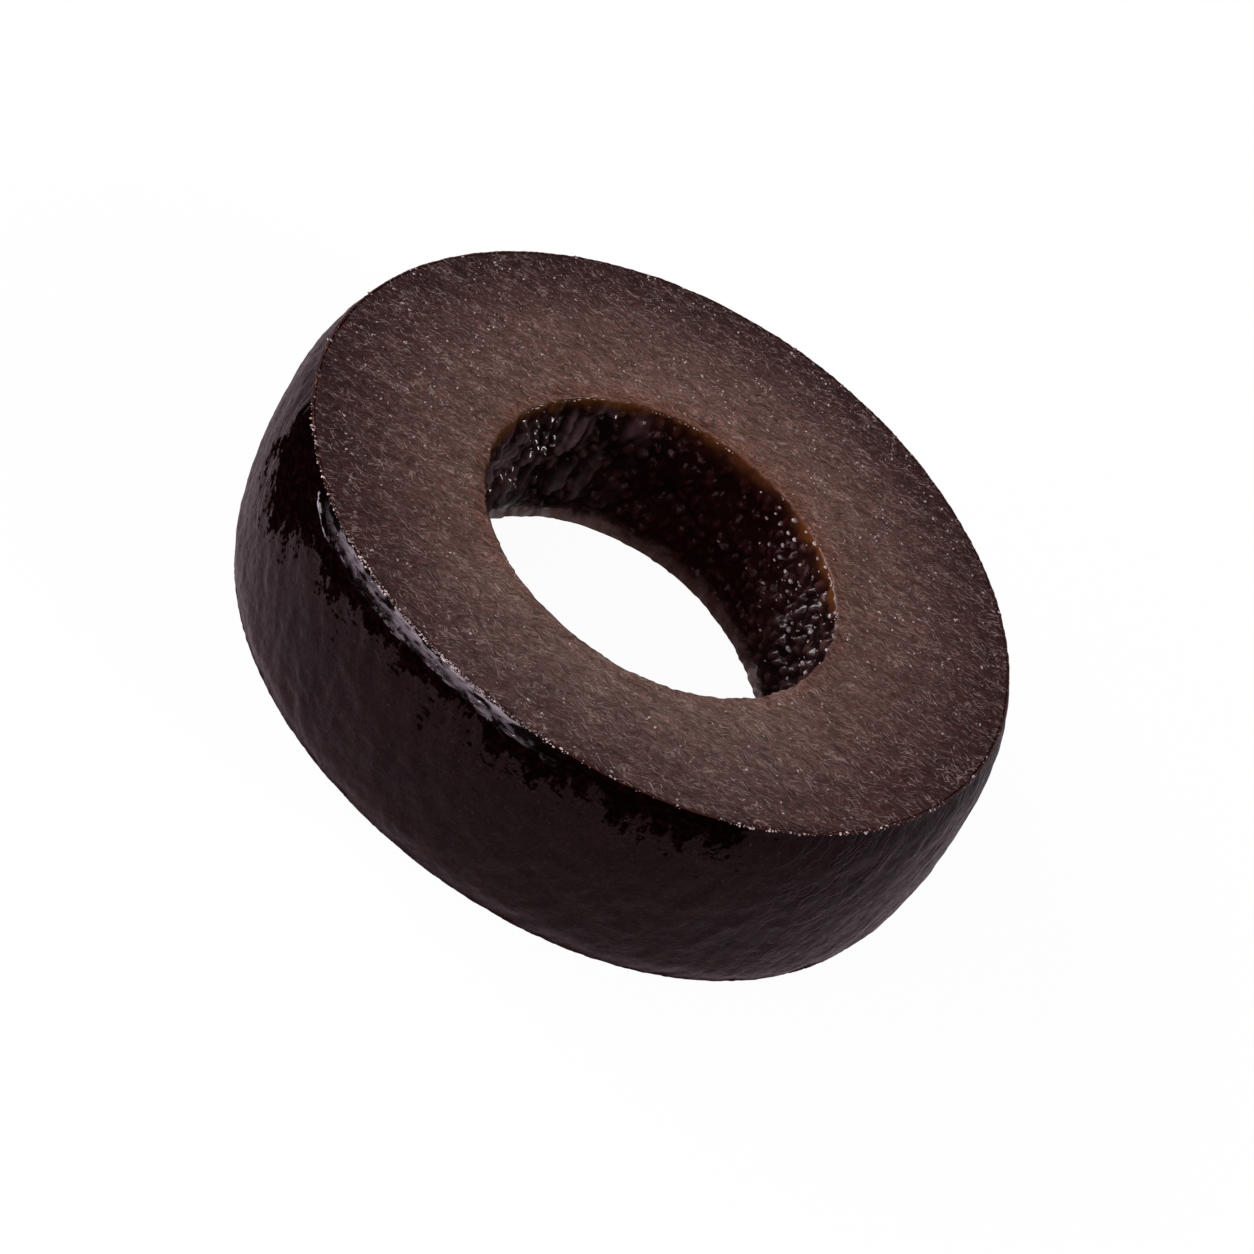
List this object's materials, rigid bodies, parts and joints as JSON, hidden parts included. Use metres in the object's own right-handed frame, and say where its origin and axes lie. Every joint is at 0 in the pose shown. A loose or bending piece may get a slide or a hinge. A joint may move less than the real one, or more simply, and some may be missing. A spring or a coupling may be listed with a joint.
{
  "type": "olive slice",
  "caption": "Ring slice of a pitted ripe black olive, with a glossy barrel-shaped skin, flat brown cut faces and a leaning hole where the stone was punched out.",
  "frame": {"origin": "middle of the slice on its lower cut face, where the fruit's own axis meets it", "axes": "+Z along the fruit's axis, out of the upper cut face; +X along the long diameter of the oval outline"},
  "size_m": [0.0189, 0.0172, 0.0051],
  "materials": {
    "peel": "gloss",
    "pulp": "satin",
    "torn_pulp": "gloss"
  },
  "bodies": {
    "root": {"skin": "peel", "flesh": "pulp", "pit_hole_lining": "torn_pulp"}
  },
  "joints": []
}
